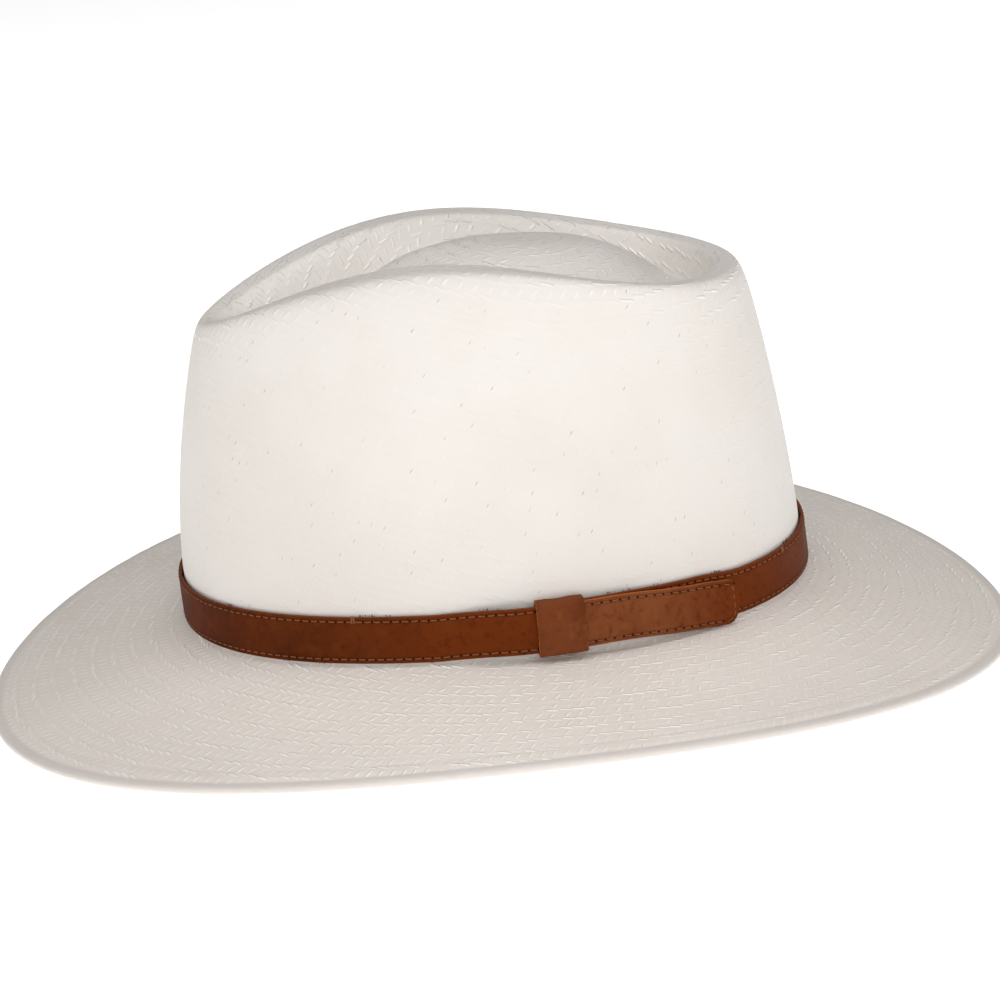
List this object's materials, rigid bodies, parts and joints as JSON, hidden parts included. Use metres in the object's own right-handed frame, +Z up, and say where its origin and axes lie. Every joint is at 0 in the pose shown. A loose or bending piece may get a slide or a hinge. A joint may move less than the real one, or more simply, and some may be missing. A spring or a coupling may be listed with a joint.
{
  "type": "panama hat",
  "caption": "Woven straw hat with a pinched teardrop crown, sloping brim with a turned hem, stitched brown leather band with a lapped tail and sliding keeper, and an inner sweatband",
  "frame": {"origin": "on the ground, in the middle of the box that the resting hat fills; the hat stands on the front and back of its brim", "axes": "+Z up, -Y the front of the hat, +X the wearer's left, where the keeper and the tail of the band are"},
  "size_m": [0.2964, 0.341, 0.141],
  "materials": {
    "straw": "handwoven toquilla straw, herringbone, satin sheen",
    "straw_thread": "fine cotton sewing thread",
    "band_leather": "saddle brown, pulled-up grain, waxed",
    "band_lining": "dark split leather, fibrous edge",
    "tan_thread": "waxed tan sewing thread",
    "keeper_leather": "saddle brown, raw light edges",
    "sweatband_leather": "smooth tan lining leather",
    "sweat_thread": "beige sewing thread",
    "reed_tape": "brown tape over a round reed",
    "ribbon": "brown grosgrain ribbon"
  },
  "bodies": {
    "hat": {"straw_body": "straw", "brim_hem_thread": "straw_thread", "hatband_strap": "band_leather", "hatband_lining": "band_lining", "hatband_upper_thread": "tan_thread", "hatband_lower_thread": "tan_thread", "tail_tip_thread": "tan_thread", "hatband_tacks": "tan_thread", "sweatband": "sweatband_leather", "sweatband_thread": "sweat_thread", "sweatband_reed": "reed_tape", "sweatband_bow": "ribbon"},
    "keeper": {"keeper_loop": "keeper_leather"}
  },
  "joints": [
    {"name": "keeper_slide", "type": "hinge", "parent": "hat", "child": "keeper", "pos_m": [-0.06564, 0.0003, 0], "axis": [0, 0, 1], "range_deg": [-3.5, 3.5]}
  ]
}
